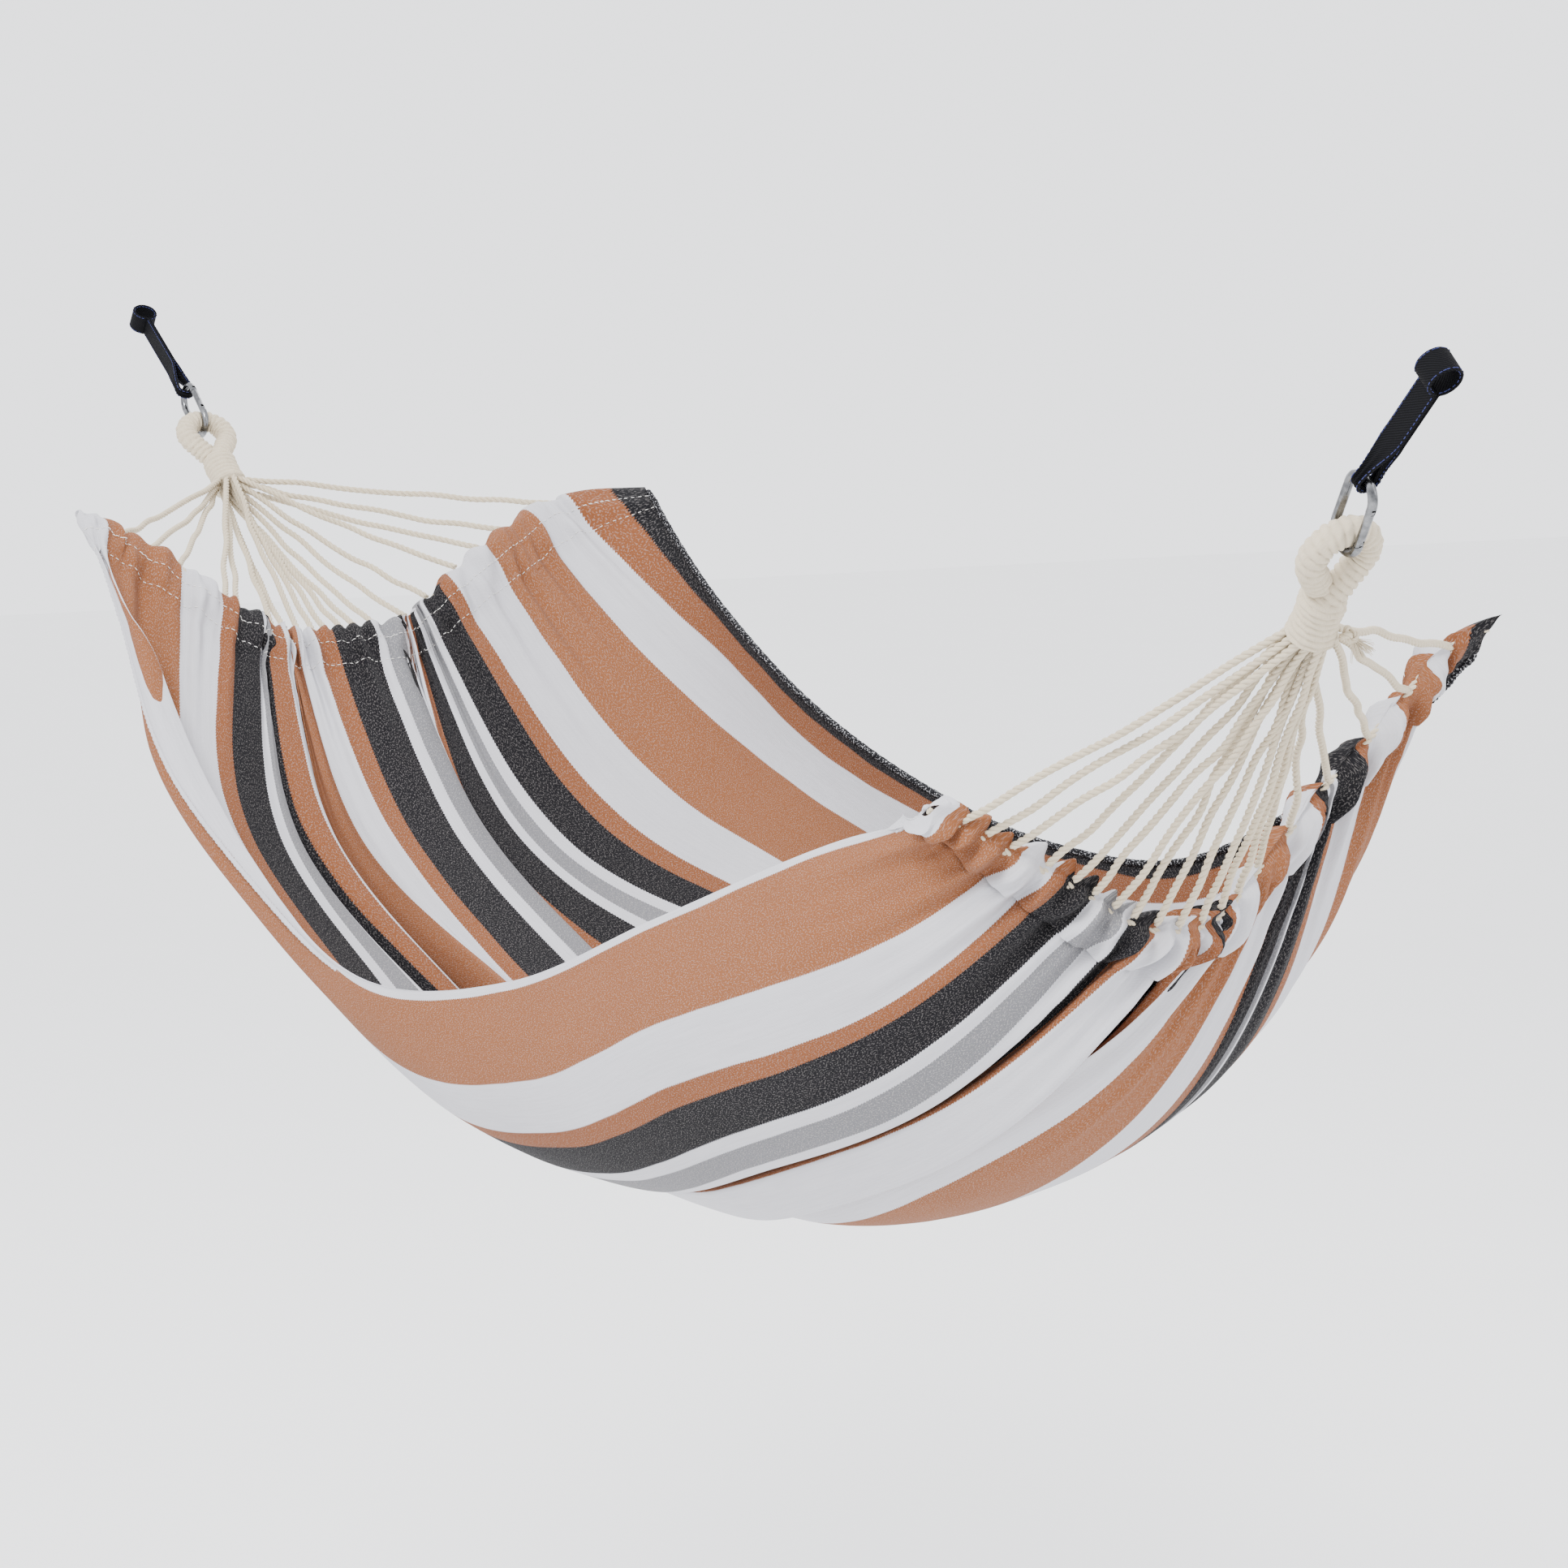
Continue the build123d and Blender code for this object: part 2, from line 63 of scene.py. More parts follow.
# Folds, one plan for each hem and each section. A fold point is its flat distance from the near edge,
# its share of the way round the section, and its height inwards from the section.
FOLDS = [
    # left hem
    [(0, .008, 0), (20, 0, 2), (57, .026, 4), (64, .030, 4), (100, .066, 1), (162, .153, 0),
     (222, .217, 0), (243, .241, 0), (287, .282, 0), (304, .284, 0), (334, .286, 0), (351, .288, 0),
     (390, .291, 0), (397, .294, 0), (417, .318, 0), (440, .322, 0), (477, .326, 0), (560, .335, 0),
     (579, .340, 0), (639, .362, 0), (660, .394, 0), (704, .452, 0), (721, .461, 0), (751, .500, 0),
     (812, .504, 0), (834, .506, 0), (894, .509, 0), (996, .512, 0), (1056, .515, 0), (1077, .520, 0),
     (1121, .528, 0), (1138, .533, 0), (1168, .540, 0), (1185, .547, 0), (1229, .582, 0),
     (1251, .602, 0), (1311, .688, 0), (1413, .80, 0), (1473, .875, 0), (1494, .94, 0), (1504.5, 1, 0)],
    # section 1
    [(0, .048, -6), (30, .018, 12), (57, 0, 32), (62, .001, 32), (72, .011, 21), (84, .020, 12),
     (100, .034, 4), (120, .06, -20), (142, .09, -20), (162, .12, -9), (185, .14, -6), (222, .165, 0),
     (243, .19, 0), (287, .235, 0), (304, .252, 0), (334, .266, -2), (345, .267, -6), (373, .264, -24),
     (390, .270, -8), (396, .274, 4), (417, .304, 8), (424, .310, 4), (450, .320, -16), (500, .332, -26),
     (540, .337, -14), (579, .342, 10), (600, .349, 20), (639, .370, 29), (660, .397, 30),
     (704, .455, 31), (721, .475, 30), (751, .51, 20), (765, .505, 12), (834, .455, 0), (894, .462, -9),
     (996, .485, -5), (1056, .50, 0), (1077, .515, 0), (1121, .552, 0), (1138, .566, 0), (1168, .583, 0),
     (1185, .60, 0), (1229, .65, 0), (1251, .68, 0), (1311, .755, 0), (1413, .865, 0), (1473, .94, 0),
     (1494, .975, 0), (1504.5, 1, 0)],
    # section 2
    [(0, .026, 2), (30, .010, 10), (54, 0, 16), (64, .003, 16), (80, .012, 11), (100, .034, 2),
     (130, .075, -13), (162, .115, -5), (222, .185, 0), (243, .21, 0), (287, .26, 0), (304, .28, 0),
     (334, .313, 0), (345, .321, 0), (351, .324, -2), (373, .330, -12), (390, .337, -3), (396, .341, 2),
     (417, .358, 6), (425, .364, 2), (450, .370, -16), (500, .383, -24), (525, .376, 6), (548, .374, 30),
     (565, .380, 43), (585, .386, 42), (610, .390, 33), (639, .396, 40), (660, .412, 48),
     (704, .467, 52), (721, .489, 51), (751, .526, 42), (770, .51, 26), (834, .41, 2), (894, .44, 0),
     (996, .505, 0), (1056, .545, 0), (1077, .583, 0), (1121, .638, 0), (1138, .656, 0), (1168, .684, 0),
     (1185, .70, 0), (1229, .735, 0), (1251, .755, 0), (1311, .81, 0), (1413, .895, 0), (1473, .95, 0),
     (1494, .98, 0), (1504.5, 1, 0)],
    # section 3
    [(0, .014, 7), (42, 0, 0), (60, .015, -4), (162, .11, -16), (222, .17, -20), (243, .19, -20),
     (287, .235, -20), (304, .25, -18), (334, .28, -16), (351, .295, -12), (372, .285, 10),
     (395, .30, 8), (417, .305, -10), (455, .345, -15), (477, .366, -17), (486, .368, -12),
     (520, .352, 10), (550, .355, 38), (572, .364, 50), (610, .375, 46), (639, .383, 54), (660, .40, 62),
     (704, .458, 65), (721, .477, 63), (751, .506, 53), (770, .487, 34), (812, .37, 6), (834, .343, -4),
     (894, .41, -4), (996, .49, 0), (1056, .53, 0), (1077, .562, 0), (1121, .622, 0), (1138, .64, 0),
     (1168, .675, 0), (1185, .695, 0), (1229, .74, 0), (1251, .76, 0), (1311, .82, 0), (1413, .91, 0),
     (1473, .965, 0), (1494, .985, 0), (1504.5, 1, 0)],
    # section 4
    [(0, .03, 8), (44, 0, 0), (60, .012, -4), (162, .105, -26), (222, .16, -34), (243, .18, -34),
     (287, .22, -34), (304, .235, -32), (334, .265, -28), (351, .28, -22), (372, .27, 6), (395, .285, 4),
     (417, .285, -18), (455, .325, -24), (477, .343, -26), (486, .345, -20), (505, .328, 14),
     (535, .332, 60), (555, .345, 75), (575, .357, 72), (605, .366, 56), (639, .372, 68),
     (660, .384, 77), (704, .440, 80), (721, .457, 78), (751, .485, 66), (770, .47, 44), (812, .345, 4),
     (834, .318, -10), (894, .385, -12), (996, .465, -6), (1056, .51, 0), (1077, .54, 0),
     (1121, .593, 0), (1138, .61, 0), (1168, .635, 0), (1185, .65, 0), (1229, .705, 0), (1251, .73, 0),
     (1311, .80, 0), (1413, .90, 0), (1473, .96, 0), (1494, .985, 0), (1504.5, 1, 0)],
    # section 5
    [(0, .03, 8), (46, 0, 0), (60, .01, -4), (162, .10, -30), (222, .155, -38), (243, .175, -38),
     (287, .215, -38), (304, .23, -36), (334, .255, -30), (351, .27, -26), (372, .26, 4), (395, .275, 2),
     (417, .275, -24), (455, .315, -30), (477, .333, -32), (486, .335, -24), (505, .320, 14),
     (535, .324, 60), (555, .337, 75), (575, .349, 72), (605, .358, 56), (639, .364, 68),
     (660, .376, 77), (704, .432, 80), (721, .449, 78), (751, .477, 66), (770, .463, 44), (812, .335, 2),
     (834, .308, -16), (894, .375, -18), (996, .475, -10), (1056, .53, -4), (1077, .557, -2),
     (1121, .58, 0), (1138, .588, 0), (1168, .60, 0), (1185, .61, 0), (1229, .665, 0), (1251, .695, 0),
     (1311, .77, 0), (1413, .89, 0), (1473, .955, 0), (1494, .98, 0), (1504.5, 1, 0)],
    # section 6
    [(0, .03, 8), (50, 0, 0), (60, .01, -4), (162, .11, -24), (222, .165, -28), (243, .18, -28),
     (287, .22, -28), (304, .235, -26), (334, .265, -22), (351, .28, -18), (372, .27, 4), (395, .285, 2),
     (417, .285, -18), (455, .32, -24), (477, .338, -26), (486, .34, -18), (530, .335, 30),
     (579, .35, 52), (639, .39, 58), (704, .45, 60), (721, .465, 60), (751, .49, 52), (770, .47, 34),
     (812, .34, 2), (834, .315, -12), (894, .38, -14), (996, .485, -8), (1056, .54, -4), (1077, .57, -2),
     (1121, .589, 0), (1138, .595, 0), (1168, .604, 0), (1185, .61, 0), (1229, .66, 0), (1251, .69, 0),
     (1311, .765, 0), (1413, .885, 0), (1473, .95, 0), (1494, .98, 0), (1504.5, 1, 0)],
    # right hem
    [(0, .0, 0), (50, .01, 0), (60, .015, 0), (162, .13, 0), (222, .18, 0), (243, .20, 0),
     (287, .245, 0), (304, .258, 0), (334, .29, 0), (351, .303, 0), (395, .332, 0), (417, .342, 0),
     (477, .385, 0), (579, .405, 0), (639, .415, 0), (704, .432, 0), (751, .440, 0), (812, .450, 0),
     (834, .455, 0), (894, .525, 0), (996, .60, 0), (1056, .65, 0), (1077, .668, 0), (1121, .69, 0),
     (1138, .695, 0), (1168, .702, 0), (1185, .708, 0), (1229, .752, 0), (1251, .775, 0),
     (1311, .835, 0), (1413, .90, 0), (1473, .938, 0), (1494, .958, 0), (1504.5, 1, 0)],
]
LAST_ROW = len(FOLDS) - 1


# --- lines ---------------------------------------------------------------
def unit(v):
    v = np.asarray(v, float)
    return v / np.linalg.norm(v, axis=-1, keepdims=True)


def distances(points):
    """How far along a polyline each of its points is."""
    return np.concatenate([[0], np.cumsum(np.linalg.norm(np.diff(points, axis=0), axis=1))])


def read_line(at, marks, points):
    """Points of a polyline at the numbers in at, where marks are the numbers of its own points."""
    return np.stack([np.interp(at, marks, points[:, k]) for k in range(3)], axis=-1)


def along(points, shares):
    """Points at those shares of a polyline's length."""
    points = np.asarray(points, float)
    marks = distances(points)
    return read_line(np.asarray(shares) * marks[-1], marks, points)


def resample(points, step, loop=False):
    """Evenly spaced points of a line, about a step apart, and how far along it they are."""
    points = np.asarray(points, float)
    if loop:
        points = np.concatenate([points, points[:1]])
    marks = distances(points)
    at = np.linspace(0, marks[-1], max(3, int(round(marks[-1] / step)) + 1))
    if loop:
        at = at[:-1]
    return read_line(at, marks, points), at


def frames(points, hint, loop=False):
    """Tangents and two normals along a line, turned as little as possible."""
    ahead = np.roll(points, -1, axis=0) if loop else np.concatenate([points[1:], points[-1:]])
    behind = np.roll(points, 1, axis=0) if loop else np.concatenate([points[:1], points[:-1]])
    tangent = unit(ahead - behind)
    side = np.empty_like(points)
    last = np.asarray(hint, float)
    for i, t in enumerate(tangent):
        last = unit(last - t * np.dot(last, t))
        side[i] = last
    return tangent, side, np.cross(tangent, side)


def curve_points(points, resolution=10):
    """Points of a smooth open NURBS line with those control points."""
    data = bpy.data.curves.new("route", "CURVE")
    data.dimensions = "3D"
    spline = data.splines.new("NURBS")
    spline.points.add(len(points) - 1)
    for target, p in zip(spline.points, points):
        target.co = (*p, 1)
    spline.order_u = 3
    spline.use_endpoint_u = True
    spline.resolution_u = resolution
    obj = bpy.data.objects.new("route", data)
    bpy.context.scene.collection.objects.link(obj)
    mesh = bpy.data.meshes.new_from_object(obj.evaluated_get(bpy.context.evaluated_depsgraph_get()))
    line = np.array([v.co[:] for v in mesh.vertices])
    bpy.data.objects.remove(obj)
    bpy.data.meshes.remove(mesh)
    return line


def plane_at(origin, up):
    """Origin and axes of a local frame: z along up, x across it and y as near the world's as it can be."""
    z = unit(up)
    x = unit(np.cross([0, 1, 0], z))
    return np.asarray(origin, float), np.array([x, np.cross(z, x), z])


def to_world(plane, local):
    origin, axes = plane
    return origin + np.asarray(local, float) @ axes


# --- meshes --------------------------------------------------------------
def make_object(name, vertices, faces, uv=None):
    """Smooth mesh object. uv holds flat coordinates in metres, one pair for each vertex."""
    mesh = bpy.data.meshes.new(name)
    mesh.from_pydata(np.asarray(vertices, float).tolist(), [], faces)
    mesh.validate()
    if uv is not None:
        layer = mesh.uv_layers.new(name="flat")
        index = np.empty(len(mesh.loops), int)
        mesh.loops.foreach_get("vertex_index", index)
        layer.data.foreach_set("uv", np.asarray(uv, np.float32)[index].ravel())
    mesh.polygons.foreach_set("use_smooth", [True] * len(mesh.polygons))
    obj = bpy.data.objects.new(name, mesh)
    bpy.context.scene.collection.objects.link(obj)
    return obj


def grid_faces(rows, cols, start=0, ring=False, loop=False):
    """Quads of a grid. ring closes it across the columns, loop closes it along the rows."""
    r = np.arange(rows if loop else rows - 1)
    c = np.arange(cols if ring else cols - 1)
    a, b = np.meshgrid(r, c, indexing="ij")
    a2, b2 = (a + 1) % rows, (b + 1) % cols
    quads = np.stack([a * cols + b, a * cols + b2, a2 * cols + b2, a2 * cols + b], axis=-1)
    return (quads.reshape(-1, 4) + start).tolist()


def full_turn(sides):
    return np.linspace(0, 2 * math.pi, sides, endpoint=False)


def rings(centres, radius, a, b, turn):
    """A ring of points round each centre, in the plane of its a and b."""
    return centres[:, None] + radius * (np.cos(turn)[None, :, None] * a[:, None]
                                        + np.sin(turn)[None, :, None] * b[:, None])


def tube(rows, start=0, loop=False, caps=True):
    """Vertices and faces of a tube through rings of points, whose first vertex has the number start."""
    count, sides = rows.shape[:2]
    faces = grid_faces(count, sides, start, True, loop)
    if caps and not loop:
        last = start + (count - 1) * sides
        faces.append(list(range(start, start + sides))[::-1])
        faces.append(list(range(last, last + sides)))
    return rows.reshape(-1, 3).tolist(), faces


def flat_grid(across, ahead):
    """Flat coordinates of a grid, row by row."""
    return np.stack(np.broadcast_arrays(across, ahead), axis=-1).reshape(-1, 2).tolist()


def strands(line, diameter, pitch, step, hint=(0.3, 1, 0.2), count=3, sides=8, phase=0.0, loop=False):
    """Twisted rope round a line: vertices, faces and flat coordinates of its strands."""
    points, at = resample(line, step, loop)
    _, a, b = frames(points, hint, loop)
    pressed = 1.12
    radius = diameter / 2 / (1 + 1 / math.sin(math.pi / count)) * pressed
    off = diameter / 2 - radius
    turn = full_turn(sides)
    girth = 0.01
    vertices, faces, flat = [], [], []
    for k in range(count):
        angle = 2 * math.pi * (at / pitch + k / count) + phase
        centres = points + off * (np.cos(angle)[:, None] * a + np.sin(angle)[:, None] * b)
        _, na, nb = frames(centres, hint, loop)
        more, quads = tube(rings(centres, radius, na, nb, turn), len(vertices), loop)
        vertices += more
        faces += quads
        flat += flat_grid(turn[None] / (2 * math.pi) * girth, at[:, None])
    return vertices, faces, flat


def join(parts):
    vertices, faces, flat = [], [], []
    for v, f, uv in parts:
        start = len(vertices)
        vertices += v
        faces += [[i + start for i in face] for face in f]
        flat += uv
    return vertices, faces, flat


def wound_tube(line, radius, cord, hint, sides=72, step=0.0009, lay=0.0045):
    """Tube wound closely with a twisted cord. radius is a function of the share of the way along."""
    points, at = resample(line, step)
    _, a, b = frames(points, hint)
    turn = full_turn(sides)
    outer = np.array([radius(s) for s in at / at[-1]])[:, None]
    wind = at[:, None] / cord + turn[None] / (2 * math.pi)
    x = 2 * (wind % 1) - 1
    crown = np.sqrt(np.clip(1 - x * x, 0, 1))
    twist = (turn[None] * outer / lay / 3 + np.floor(wind) * 0.37 + x * 0.35) * 2 * math.pi
    strand_relief = 0.00042
    r = outer - cord / 2 * (1 - crown) + strand_relief * np.cos(twist) * crown
    flat_radius = 0.0125
    flat = flat_grid(turn[None] * flat_radius, at[:, None])
    return (*tube(rings(points, r[..., None], a, b, turn)), flat)


# --- shape of the cloth --------------------------------------------------
def half_round(near, low, far, count=65):
    """Cross-section of the bed: two quarter ellipses that meet at its lowest point."""
    near, low, far = (np.array(p, float) for p in (near, low, far))
    t = np.linspace(0, 2, count)[:, None]
    side = np.where(t <= 1, near, far)
    turn = np.abs(1 - t) * math.pi / 2
    section = low + (side - low) * (1 - np.cos(turn))
    section[:, 1:2] = low[1] + (side[:, 1:2] - low[1]) * np.sin(turn)
    return section


def smooth_rows(rows, at):
    """Catmull-Rom curve through rows (first axis), read at the numbers in at."""
    rows = np.asarray(rows, float)
    ext = np.concatenate([2 * rows[:1] - rows[1:2], rows, 2 * rows[-1:] - rows[-2:-1]])
    at = np.clip(np.asarray(at, float), 0, len(rows) - 1 - 1e-9)
    i = at.astype(int)
    t = (at - i).reshape((-1,) + (1,) * (rows.ndim - 1))
    a, b, c, d = ext[i], ext[i + 1], ext[i + 2], ext[i + 3]
    return 0.5 * (2 * b + (c - a) * t + (2 * a - 5 * b + 4 * c - d) * t ** 2
                  + (3 * b - a - 3 * c + d) * t ** 3)


def soften(values, width=3):
    """Weighted running mean of a list of numbers, which keeps both ends."""
    kernel = np.hanning(2 * width + 3)[1:-1]
    kernel /= kernel.sum()
    pad = np.concatenate([2 * values[:1] - values[width:0:-1], values,
                          2 * values[-1:] - values[-2:-width - 2:-1]])
    return np.convolve(pad, kernel, mode="valid")


HEM_LINES = {side: curve_points(np.array(hem, float) * MM) for side, hem in (
    ("left", LEFT_HEM), ("right", RIGHT_HEM))}
SHARES = np.linspace(0, 1, 121)
BASE_ROWS = np.array([
    along(HEM_LINES["left"] / MM, SHARES),
    *(along(half_round(*section), SHARES) for section in zip(NEAR_EDGE, LOW_LINE, FAR_EDGE)),
    along(HEM_LINES["right"] / MM, SHARES),
])
SHARE_STEP = 0.012
ROW_STEP = 0.05


def cloth_points(u, row_at):
    """Places (mm) of the folded cloth: rows along the bed, columns at the flat distances u."""
    plans = []
    for plan in FOLDS:
        marks, share, lift = np.array(plan, float).T
        plans.append(np.stack([soften(np.interp(u, marks, share)), soften(np.interp(u, marks, lift))],
                              axis=-1))
    folds = smooth_rows(plans, row_at)
    base = smooth_rows(BASE_ROWS, row_at)
    run = (smooth_rows(BASE_ROWS, np.clip(row_at + ROW_STEP, 0, LAST_ROW))
           - smooth_rows(BASE_ROWS, np.clip(row_at - ROW_STEP, 0, LAST_ROW)))
    points = np.empty((len(row_at), len(u), 3))
    for r, fold in enumerate(folds):
        share, lift = fold[:, 0], fold[:, 1:]
        tangent = (read_line(share + SHARE_STEP, SHARES, base[r])
                   - read_line(share - SHARE_STEP, SHARES, base[r]))
        inward = unit(np.cross(read_line(share, SHARES, run[r]), tangent))
        points[r] = read_line(share, SHARES, base[r]) + inward * lift
    return points


def normals_from(ahead, across):
    """Unit normals of a surface. The tiny number keeps a pinched spot from a division by zero."""
    return unit(np.cross(ahead, across) + 1e-12)


# --- materials -----------------------------------------------------------
class Nodes:
    """Short calls for a material's node tree. Keywords set constants on the shader's own sockets."""

    def __init__(self, name, **shader):
        self.material = bpy.data.materials.new(name)
        self.material.use_nodes = True
        self.tree = self.material.node_tree
        self.shader = self.tree.nodes["Principled BSDF"]
        for key, value in shader.items():
            self.shader.inputs[key.replace("_", " ")].default_value = value

    def add(self, kind, inputs=(), **props):
        node = self.tree.nodes.new(kind)
        for key, value in props.items():
            setattr(node, key, value)
        for key, value in dict(inputs).items():
            if isinstance(value, bpy.types.NodeSocket):
                self.tree.links.new(value, node.inputs[key])
            else:
                node.inputs[key].default_value = value
        return node

    def math(self, kind, a, b=0.0):
        return self.add("ShaderNodeMath", {0: a, 1: b}, operation=kind).outputs[0]

    def mix(self, factor, a, b, blend="MIX"):
        return self.add("ShaderNodeMix", {0: factor, 6: a, 7: b}, data_type="RGBA",
                        blend_type=blend).outputs[2]

    def ramp(self, factor, stops, interpolation="LINEAR"):
        node = self.add("ShaderNodeValToRGB", {"Fac": factor})
        node.color_ramp.interpolation = interpolation
        elements = node.color_ramp.elements
        while len(elements) < len(stops):
            elements.new(1.0)
        for element, (place, color) in zip(elements, sorted(stops)):
            element.position = place
            element.color = color
        return node.outputs[0]

    def noise(self, vector, scale, detail=2.0, roughness=0.5):
        return self.add("ShaderNodeTexNoise", {"Vector": vector, "Scale": scale, "Detail": detail,
                                               "Roughness": roughness}).outputs[0]

    def scaled(self, vector, scale, rotation=0.0):
        return self.add("ShaderNodeMapping", {"Vector": vector, "Scale": scale,
                                              "Rotation": (0, 0, rotation)}).outputs[0]

    def flat(self):
        return self.add("ShaderNodeUVMap", uv_map="flat").outputs[0]

    def place(self):
        return self.add("ShaderNodeTexCoord").outputs["Object"]

    def finish(self, color, roughness=None, bump=None, strength=0.3, distance=0.001):
        self.tree.links.new(color, self.shader.inputs["Base Color"])
        if roughness is not None:
            self.tree.links.new(roughness, self.shader.inputs["Roughness"])
        if bump is not None:
            node = self.add("ShaderNodeBump", {"Height": bump, "Strength": strength, "Distance": distance})
            self.tree.links.new(node.outputs[0], self.shader.inputs["Normal"])
        return self.material


def grey(value):
    return (value, value, value, 1)


WHITE = (0.50, 0.495, 0.525, 1)
BROWN = (0.205, 0.073, 0.028, 1)
BROWN_THIN = (0.18, 0.060, 0.022, 1)
DARK = (0.0048, 0.0045, 0.006, 1)
GREY = (0.155, 0.155, 0.165, 1)
WEFT = (0.58, 0.54, 0.52, 1)
# One repeat of the stripes: where each starts (mm), its colour and how much of its weft shows.
STRIPES = [(0, WHITE, 0.0), (60, BROWN, 0.17), (162, WHITE, 0.0), (222, BROWN_THIN, 0.16),
           (243.5, DARK, 0.11), (287.5, WHITE, 0.0), (304.5, GREY, 0.28), (334.5, WHITE, 0.0),
           (351.5, DARK, 0.11), (395.5, BROWN_THIN, 0.16)]
REPEAT = 417
PICK = 0.0036


def cloth_material():
    """Striped warp with uneven stripe edges, flecks of weft, slubs, and twill under fine creases."""
    n = Nodes("striped_cotton", Roughness=0.88, Sheen_Weight=0.02, Specular_IOR_Level=0.15,
              Sheen_Roughness=0.5)
    flat = n.flat()
    parts = n.add("ShaderNodeSeparateXYZ", {0: flat})
    across, along_cloth = parts.outputs[0], parts.outputs[1]
    step = n.math("FRACT", n.math("DIVIDE", along_cloth, PICK))
    wander = n.noise(flat, 9.0, 1.0)
    edge = n.math("ADD", across, n.math("MULTIPLY", n.math("SUBTRACT", step, 0.5), 0.0013))
    edge = n.math("ADD", edge, n.math("MULTIPLY", n.math("SUBTRACT", wander, 0.5), 0.004))
    share = n.math("FRACT", n.math("DIVIDE", edge, REPEAT * MM))
    warp = n.ramp(share, [(u / REPEAT, color) for u, color, _ in STRIPES], "CONSTANT")
    weft_share = n.ramp(share, [(u / REPEAT, grey(weft)) for u, _, weft in STRIPES], "CONSTANT")
    fleck = n.ramp(n.noise(n.scaled(flat, (900, 480, 1), 0.6), 1.0, 1.0),
                   [(0.0, grey(0)), (0.53, grey(0)), (0.64, grey(1)), (1.0, grey(1))])
    color = n.mix(n.math("MULTIPLY", fleck, weft_share), warp, WEFT)
    slub = n.ramp(n.noise(n.scaled(flat, (500, 14, 1)), 1.0, 2.0),
                  [(0.0, grey(0.86)), (0.5, grey(0.97)), (1.0, grey(1.06))])
    color = n.mix(1.0, color, slub, "MULTIPLY")
    cloud = n.ramp(n.noise(flat, 5.0, 3.0), [(0.0, grey(0.9)), (1.0, grey(1.06))])
    color = n.mix(1.0, color, cloud, "MULTIPLY")
    twill = n.add("ShaderNodeTexWave", {"Vector": n.scaled(flat, (1, 1, 1), 0.9), "Scale": 130.0,
                                        "Distortion": 0.6, "Detail": 1.0}).outputs[1]
    crinkle = n.noise(n.scaled(flat, (60, 22, 1)), 1.0, 4.0, 0.6)
    height = n.math("ADD", n.math("MULTIPLY", twill, 0.18), n.math("MULTIPLY", crinkle, 2.8))
    return n.finish(color, None, height, 0.35, 0.0012)


def selvedge_material():
    """Charcoal edge with pale flecks."""
    n = Nodes("dark_selvedge", Roughness=0.85, Specular_IOR_Level=0.15)
    fleck = n.ramp(n.noise(n.scaled(n.flat(), (500, 420, 1)), 1.0, 1.0),
                   [(0.0, grey(0)), (0.55, grey(0)), (0.66, grey(1)), (1.0, grey(1))])
    color = n.mix(n.math("MULTIPLY", fleck, 0.5), DARK, (0.6, 0.6, 0.62, 1))
    return n.finish(color, None, fleck, 0.4, 0.0008)


def rope_material(name, color, dark):
    """Cotton yarn: fibres that lie aslant along each strand, and faint clouds."""
    n = Nodes(name, Roughness=0.86, Sheen_Weight=0.03)
    fibre = n.noise(n.scaled(n.flat(), (1500, 240, 1), 0.5), 1.0, 3.0)
    pale = tuple(min(1, 1.08 * c) for c in color)
    tone = n.ramp(fibre, [(0.0, dark), (0.45, color), (1.0, pale)])
    cloud = n.ramp(n.noise(n.place(), 40.0, 2.0), [(0.0, grey(0.88)), (1.0, grey(1.05))])
    return n.finish(n.mix(1.0, tone, cloud, "MULTIPLY"), None, fibre, 0.5, 0.0005)


def webbing_material():
    """Black polyester webbing with a slanted weave."""
    n = Nodes("webbing", Roughness=0.7, Specular_IOR_Level=0.06)
    weave = n.add("ShaderNodeTexWave", {"Vector": n.scaled(n.flat(), (1, 1, 1), 0.7), "Scale": 170.0,
                                        "Distortion": 1.0}).outputs[1]
    color = n.ramp(weave, [(0.0, (0.0015, 0.0015, 0.002, 1)), (1.0, (0.006, 0.006, 0.0075, 1))])
    return n.finish(color, None, weave, 0.6, 0.0006)


def metal_painted_reflection_material():
    """Zinc-plated steel; its dark, mottled colour is a painted reflection of dark surroundings."""
    n = Nodes("zinc_steel", Metallic=1.0)
    place = n.place()
    cloud = n.noise(place, 160.0, 3.0)
    # Painted reflection: the base colour is kept dark and mottled in place of dark surroundings mirrored
    # in the steel.
    color = n.ramp(cloud, [(0.25, (0.07, 0.072, 0.076, 1)), (0.75, (0.25, 0.253, 0.26, 1))])
    rough = n.ramp(n.noise(place, 420.0, 2.0), [(0.2, grey(0.14)), (0.8, grey(0.3))])
    return n.finish(color, rough, cloud, 0.12, 0.0004)


def thread_material(name, color):
    """Sewing thread."""
    n = Nodes(name, Roughness=0.7)
    place = n.place()
    dark = (*(0.8 * c for c in color[:3]), 1)
    tone = n.ramp(n.noise(place, 900.0, 1.0), [(0.2, dark), (0.8, color)])
    return n.finish(tone, None, n.noise(place, 1500.0, 1.0), 0.3, 0.0003)


CLOTH = cloth_material()
SELVEDGE = selvedge_material()
ROPE = rope_material("cotton_rope", (0.53, 0.455, 0.335, 1), (0.32, 0.255, 0.165, 1))
WEBBING = webbing_material()
ZINC = metal_painted_reflection_material()
WHITE_THREAD = thread_material("white_thread", (0.8, 0.78, 0.74, 1))
BLUE_THREAD = thread_material("blue_thread", (0.006, 0.011, 0.09, 1))


def place_piece(obj, body, material, slot_name, *nodes):
    obj.data.materials.append(material)
    if nodes:
        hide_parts(*nodes)
    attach(obj, body)
    return obj


